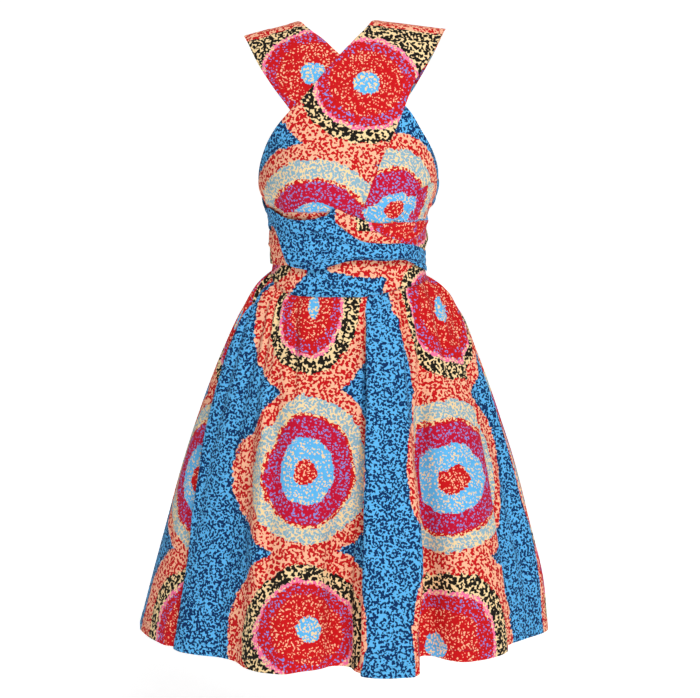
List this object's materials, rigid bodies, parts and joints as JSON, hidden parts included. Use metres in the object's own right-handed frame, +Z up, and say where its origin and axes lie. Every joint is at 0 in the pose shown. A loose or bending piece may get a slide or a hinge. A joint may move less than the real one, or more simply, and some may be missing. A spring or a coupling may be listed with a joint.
{
  "type": "dress",
  "caption": "Knee-length wax print dress: full gathered skirt, shaped waistband, and two wide straps that cross at the throat and wrap the waist.",
  "frame": {"origin": "middle of the shoulder line, where the straps rest on the wearer's shoulders", "axes": "+Z up, -Y out of the front of the dress, +X towards the wearer's left"},
  "size_m": [0.6967, 0.5599, 1.013],
  "materials": {
    "skirt_cloth": "matt printed cotton",
    "waist_cloth": "matt printed cotton",
    "strap_cloth": "matt printed cotton",
    "wrap_cloth": "matt printed cotton"
  },
  "bodies": {
    "root": {"skirt_front": "skirt_cloth", "skirt_back": "skirt_cloth", "waistband": "waist_cloth", "strap_over_front": "strap_cloth", "strap_over_back": "strap_cloth", "strap_over_wrap": "wrap_cloth", "strap_under_front": "strap_cloth", "strap_under_back": "strap_cloth", "strap_under_wrap": "wrap_cloth"}
  },
  "joints": []
}
